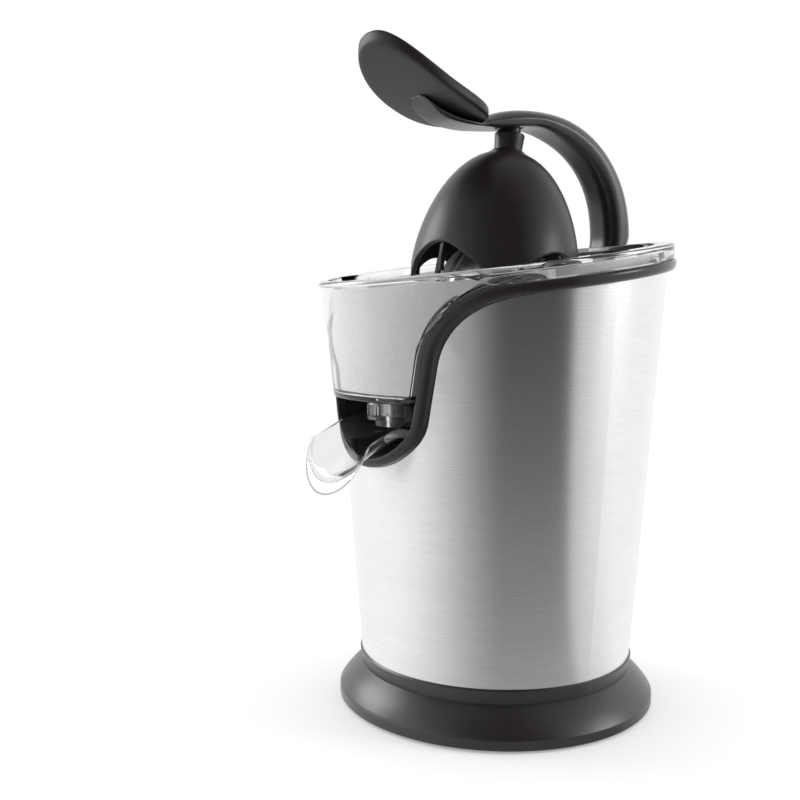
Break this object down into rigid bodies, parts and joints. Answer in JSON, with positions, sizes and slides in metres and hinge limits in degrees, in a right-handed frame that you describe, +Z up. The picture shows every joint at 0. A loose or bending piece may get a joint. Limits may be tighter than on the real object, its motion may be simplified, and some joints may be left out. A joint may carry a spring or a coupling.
{
  "type": "citrus press juicer",
  "caption": "Upright citrus press juicer: tapered brushed shell, clear juice bowl with tipping spout, strainer, driven reamer and a hooped lever with a press dome.",
  "frame": {"origin": "centre of the base's underside, on the drive shaft's axis", "axes": "+Z up along the drive shaft, -Y towards the spout and front, +X to the right seen from the front"},
  "size_m": [0.2012, 0.2215, 0.3694],
  "materials": {
    "black_moulding": "satin",
    "brushed_shell": "brushed",
    "clear_plastic": "clear",
    "satin_steel": "satin",
    "soft_rubber": "matte",
    "pad_silicone": "matte",
    "plated_steel": "satin",
    "gear_plastic": "matte",
    "gearbox_plastic": "matte",
    "sintered_bronze": "matte",
    "motor_steel": "satin",
    "copper_winding": "satin",
    "rotor_steel": "matte",
    "switch_plastic": "matte"
  },
  "bodies": {
    "housing": {"base_ring": "black_moulding", "bottom_plate": "black_moulding", "rubber_feet": "soft_rubber", "base_screws": "plated_steel", "cord_gland": "black_moulding", "body_shell": "brushed_shell", "trim_band": "black_moulding", "inner_housing": "black_moulding", "hinge_housing": "black_moulding", "hinge_pin": "plated_steel", "hinge_screws": "plated_steel", "gearbox_tray": "gearbox_plastic", "gearbox_lid": "gearbox_plastic", "gearbox_screws": "plated_steel", "spring_bridge": "plated_steel", "return_spring": "plated_steel", "motor_can": "motor_steel", "motor_upper_bell": "motor_steel", "motor_lower_bell": "motor_steel", "stator_coils": "copper_winding", "compound_axle": "plated_steel", "micro_switch": "switch_plastic", "upper_bush": "sintered_bronze", "shaft_seal": "soft_rubber", "spout_pins": "plated_steel"},
    "bowl": {"juice_bowl": "clear_plastic", "outlet_collar": "clear_plastic"},
    "strainer_body": {"strainer": "satin_steel"},
    "reamer_body": {"reamer": "satin_steel"},
    "spout_body": {"spout": "clear_plastic", "spout_pad": "pad_silicone"},
    "lever": {"lever_arm": "black_moulding", "palm_paddle": "black_moulding", "paddle_pegs": "plated_steel", "swivel_pin": "plated_steel"},
    "dome": {"press_dome": "black_moulding", "dome_neck": "black_moulding"},
    "carriage": {"thrust_plate": "gear_plastic"},
    "drive": {"drive_shaft": "plated_steel", "output_gear": "gear_plastic"},
    "compound": {"compound_gear": "gear_plastic"},
    "rotor": {"motor_rotor": "rotor_steel", "motor_pinion": "sintered_bronze"},
    "button": {"switch_button": "switch_plastic"}
  },
  "joints": [
    {"name": "bowl_lift", "type": "slide", "parent": "housing", "child": "bowl", "axis": [0, 0, 1], "range_m": [0, 0.02]},
    {"name": "strainer_lift", "type": "slide", "parent": "bowl", "child": "strainer_body", "axis": [0, 0, 1], "range_m": [0, 0.015]},
    {"name": "spout_tip", "type": "hinge", "parent": "housing", "child": "spout_body", "pos_m": [0, -0.048, 0.163], "axis": [-1, 0, 0], "range_deg": [0, 8.5]},
    {"name": "lever_hinge", "type": "hinge", "parent": "housing", "child": "lever", "pos_m": [0, 0.088, 0.261], "axis": [-1, 0, 0], "range_deg": [-8, 60]},
    {"name": "dome_swivel", "type": "hinge", "parent": "lever", "child": "dome", "pos_m": [0, 0.00893, 0.32973], "axis": [1, 0, 0], "range_deg": [-2.5, 2.5]},
    {"name": "start_press", "type": "slide", "parent": "housing", "child": "carriage", "axis": [0, 0, 1], "range_m": [-0.0025, 0], "stiffness_N_per_m": 4000, "springref_m": 0.003, "deforming": ["return_spring"]},
    {"name": "drive_spin", "type": "hinge", "parent": "carriage", "child": "drive", "pos_m": [0, 0, 0.15], "axis": [0, 0, 1], "continuous": true},
    {"name": "reamer_lift", "type": "slide", "parent": "drive", "child": "reamer_body", "axis": [0, 0, 1], "range_m": [0, 0.01]},
    {"name": "compound_spin", "type": "hinge", "parent": "housing", "child": "compound", "pos_m": [0, 0.04, 0.11], "axis": [0, 0, 1], "continuous": true},
    {"name": "rotor_spin", "type": "hinge", "parent": "housing", "child": "rotor", "pos_m": [0, 0, 0.06], "axis": [0, 0, 1], "continuous": true},
    {"name": "button_press", "type": "slide", "parent": "housing", "child": "button", "axis": [0, 0, 1], "range_m": [-0.0025, 0]}
  ],
  "couplings": [
    {"joint": "compound_spin", "follows": "drive_spin", "ratio": -3},
    {"joint": "rotor_spin", "follows": "drive_spin", "ratio": 13},
    {"joint": "button_press", "follows": "start_press", "ratio": 1}
  ]
}
